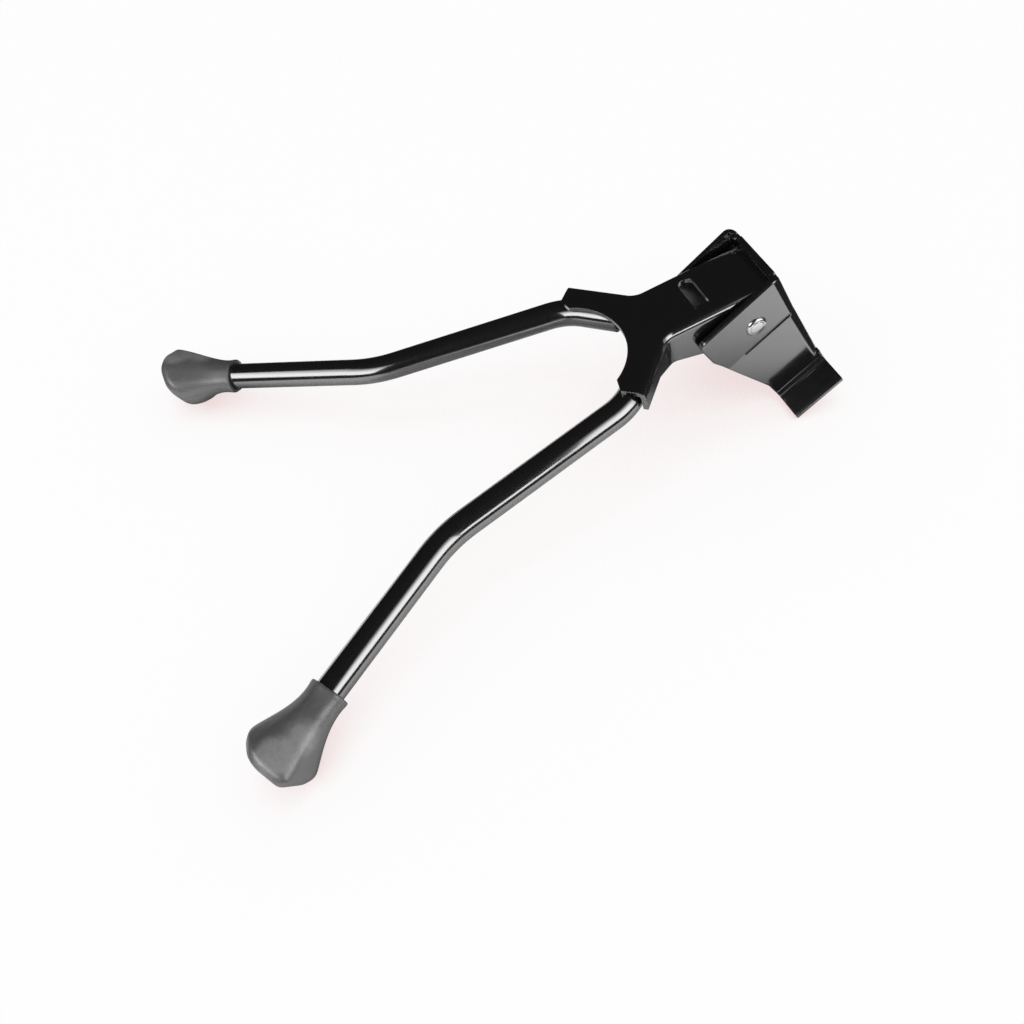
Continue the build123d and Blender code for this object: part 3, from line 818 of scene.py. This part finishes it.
class KICKSTAND_OT_welds(Operator):
    """Lay the painted weld beads under the yoke's arms"""

    bl_idname = "kickstand.welds"
    bl_label = "Weld beads"

    def execute(self, context):
        sizes = context.scene.kickstand_welds
        ripple_steps, ripple_height = 6, 0.12
        end_share, end_slope = 0.3, 8
        enamel = bpy.data.materials["black_enamel"]
        steps = ripple_steps * sizes.ripples
        shares = [i / steps for i in range(steps + 1)]
        swell = [1 - ripple_height + ripple_height * cos(tau * sizes.ripples * share)
                 for share in shares]
        ends = [min(1.0, end_slope * share + end_share, end_slope * (1 - share) + end_share)
                for share in shares]
        radii = [high * end for high, end in zip(swell, ends)]
        for name, side in (("left_weld_bead", 1), ("right_weld_bead", -1)):
            start = LEGS @ Vector((side * sizes.start[0], sizes.start[1], sizes.start[2]))
            end = LEGS @ Vector((side * sizes.end[0], sizes.end[1], sizes.end[2]))
            points = [start.lerp(end, share) for share in shares]
            bead = added(name, smooth_tube(name, points, radii, sizes.bead), enamel)
            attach(bead, "legs")
        return {"FINISHED"}


class KICKSTAND_OT_stage(Operator):
    """Set up the white table, the dark room, the bright windows and the camera"""

    bl_idname = "kickstand.stage"
    bl_label = "Studio"

    def execute(self, context):
        studio = context.scene.kickstand_studio
        self.table(studio)
        self.room(studio)
        self.world(studio)
        self.windows(studio)
        self.camera(studio)
        context.scene.view_settings.view_transform = "Standard"
        return {"FINISHED"}

    def table(self, studio):
        """White table with a soft shadow, which reflections show as a white sheet on a bench."""
        shadow_samples, shade_band = 4, (0.15, 0.90)
        contact_gain, contact_power = 1.11, 8
        yoke_shadow_level, seen_share = 0.25, 0.97
        corners = 96
        material, tree = blank("white_table")
        ray = tree.make("ShaderNodeLightPath", output="Is Camera Ray")
        mirrored = (ray.other("Is Glossy Ray") + ray.other("Is Transmission Ray")).held()
        near = tree.make("ShaderNodeAmbientOcclusion", {"samples": shadow_samples},
                         {"Distance": studio.shadow_reach}, output="AO")
        parts = tree.parts(tree.place())
        across = tree.math("ABSOLUTE", parts) - studio.sheet_size[0]
        along = tree.math("ABSOLUTE", parts.other("Y")) - studio.sheet_size[1]
        bench = tree.math("MAXIMUM", across, along).step(0, studio.sheet_fade)
        away = tree.distance(tree.place(), studio.yoke_shadow)
        lit = yoke_shadow_level + (1 - yoke_shadow_level) * away.step(*studio.yoke_shadow_reach)
        shown = ((1 - bench) * lit * (contact_gain * near) ** contact_power).held()
        shaded = tree.mix(near.step(*shade_band), opaque(studio.shadow), WHITE)
        sheet = tree.mix(shown, opaque(studio.bench), WHITE)
        paper = tree.make("ShaderNodeBsdfDiffuse", {}, {"Color": opaque(studio.paper)})
        seen = tree.emission(tree.mix(mirrored, shaded, sheet))
        tree.show(tree.make("ShaderNodeMixShader", {}, {
            0: seen_share * (ray + mirrored).held(), 1: paper, 2: seen}))
        mesh = bpy.data.meshes.new("white_table")
        turns = [tau * i / corners for i in range(corners)]
        ring = [(studio.table_radius * cos(turn), studio.table_radius * sin(turn), 0)
                for turn in turns]
        mesh.from_pydata(ring, [], [range(corners)])
        added("white_table", mesh, material)

    def dome(self, name, material, radius, turns, rises):
        """Part of a sphere round the stand, between two turns and two rises, out of sight."""
        columns, rows = 48, 16
        points = []
        for i in range(rows + 1):
            rise = rises[0] + (rises[1] - rises[0]) * i / rows
            for j in range(columns + 1):
                turn = turns[0] + (turns[1] - turns[0]) * j / columns
                points.append((radius * cos(rise) * cos(turn), radius * cos(rise) * sin(turn),
                               radius * sin(rise)))
        faces = []
        for i in range(rows):
            for j in range(columns):
                k = i * (columns + 1) + j
                faces.append((k, k + 1, k + columns + 2, k + columns + 1))
        mesh = bpy.data.meshes.new(name)
        mesh.from_pydata(points, [], faces)
        piece = added(name, mesh, material)
        piece.visible_camera = False
        return piece

    def room(self, studio):
        """Dark walls and ceiling that only reflections show."""
        material, tree = blank("dark_room")
        tree.show(tree.emission(opaque(studio.dark_room)))
        room = self.dome("dark_room", material, studio.table_radius, (0, tau), (0, pi / 2))
        room.visible_diffuse = False
        room.visible_shadow = False

    def world(self, studio):
        """White behind the table, and light from all round, stronger from the windows' side."""
        side_band = (-0.7, 0.7)
        world = bpy.data.worlds.new("studio")
        bpy.context.scene.world = world
        tree = NodeTree(world)

        def white(strength):
            return tree.make("ShaderNodeBackground", {}, {"Color": WHITE, "Strength": strength})

        ray = tree.make("ShaderNodeLightPath", output="Is Camera Ray")
        seen = (ray + ray.other("Is Glossy Ray") + ray.other("Is Transmission Ray")).held()
        across = tree.parts(tree.make("ShaderNodeTexCoord", output="Generated"))
        dim, bright = (white(share * studio.ambient) for share in studio.ambient_sides)
        soft = tree.make("ShaderNodeMixShader", {}, {
            0: across.step(*side_band), 1: dim, 2: bright})
        tree.show(tree.make("ShaderNodeMixShader", {}, {0: seen, 1: soft, 2: white(1.0)}), "World")

    def windows(self, studio):
        """Soft windows to the left of the stand, which draw the highlights along its tubes."""
        material, tree = blank("bright_window")
        sill, low_top, bright, top = studio.window_rises
        parts = tree.parts(tree.place())
        fade = (parts.other("Z") / studio.window_distance).step(sin(bright), sin(top))
        turn = tree.math("ARCTAN2", parts.other("Y"), parts)
        kept = 1 - studio.side_dimming * turn.step(*studio.side_fade)
        colour = tree.mix(1 - (1 - fade) * kept, WHITE, BLACK)
        tree.show(tree.emission(colour, studio.window_level))
        for name, turns, rises in (("bracket_window", studio.bracket_window, (sill, top)),
                                   ("low_window", studio.low_window, (sill, low_top)),
                                   ("foot_window", studio.foot_window, studio.foot_rises)):
            self.dome(name, material, studio.window_distance, turns, rises)

    def camera(self, studio):
        """Camera at the photograph's place, in the frame of the legs."""
        flat = Vector((sin(studio.heading), cos(studio.heading), 0))
        forward = flat * cos(studio.dip) - Vector((0, 0, sin(studio.dip)))
        right = Vector((cos(studio.heading), -sin(studio.heading), 0))
        down = forward.cross(right)
        turned_right = right * cos(studio.roll) + down * sin(studio.roll)
        turned_down = down * cos(studio.roll) - right * sin(studio.roll)
        axes = Matrix((turned_right, -turned_down, -forward)).transposed().to_4x4()
        lens = bpy.data.cameras.new("camera")
        lens.lens = studio.lens
        lens.sensor_width = 36
        lens.clip_start = 10 * MM
        camera = bpy.data.objects.new("camera", lens)
        camera.matrix_world = LEGS @ Matrix.Translation(Vector(studio.camera_place)) @ axes
        bpy.context.scene.collection.objects.link(camera)
        bpy.context.scene.camera = camera


OPERATORS = (KICKSTAND_OT_steelwork, KICKSTAND_OT_welds, KICKSTAND_OT_feet, KICKSTAND_OT_pivots,
             KICKSTAND_OT_spring, KICKSTAND_OT_stage)
SETTINGS = {
    "kickstand_steel": SteelFinish,
    "kickstand_feet": FootFinish,
    "kickstand_zinc": ZincFinish,
    "kickstand_spring": SpringSizes,
    "kickstand_welds": WeldSizes,
    "kickstand_studio": StudioSettings,
}


class KICKSTAND_PT_sidebar(Panel):
    """Steps that dress the stand, with their settings"""

    bl_idname = "KICKSTAND_PT_sidebar"
    bl_label = "Kickstand"
    bl_space_type = "VIEW_3D"
    bl_region_type = "UI"
    bl_category = "Kickstand"

    def draw(self, context):
        for operator in OPERATORS:
            self.layout.operator(operator.bl_idname)
        for name, group in SETTINGS.items():
            box = self.layout.box()
            box.label(text=group.__doc__)
            for setting in group.__annotations__:
                box.prop(getattr(context.scene, name), setting)


def register():
    for name, group in SETTINGS.items():
        bpy.utils.register_class(group)
        setattr(bpy.types.Scene, name, PointerProperty(type=group))
    for operator in OPERATORS:
        bpy.utils.register_class(operator)
    bpy.utils.register_class(KICKSTAND_PT_sidebar)


def unregister():
    bpy.utils.unregister_class(KICKSTAND_PT_sidebar)
    for operator in reversed(OPERATORS):
        bpy.utils.unregister_class(operator)
    for name, group in reversed(SETTINGS.items()):
        delattr(bpy.types.Scene, name)
        bpy.utils.unregister_class(group)


def main():
    register()
    bpy.ops.kickstand.steelwork()
    bpy.ops.kickstand.welds()
    bpy.ops.kickstand.feet()
    bpy.ops.kickstand.pivots()
    bpy.ops.kickstand.spring()
    bpy.ops.kickstand.stage()


if __name__ == "__main__":
    main()
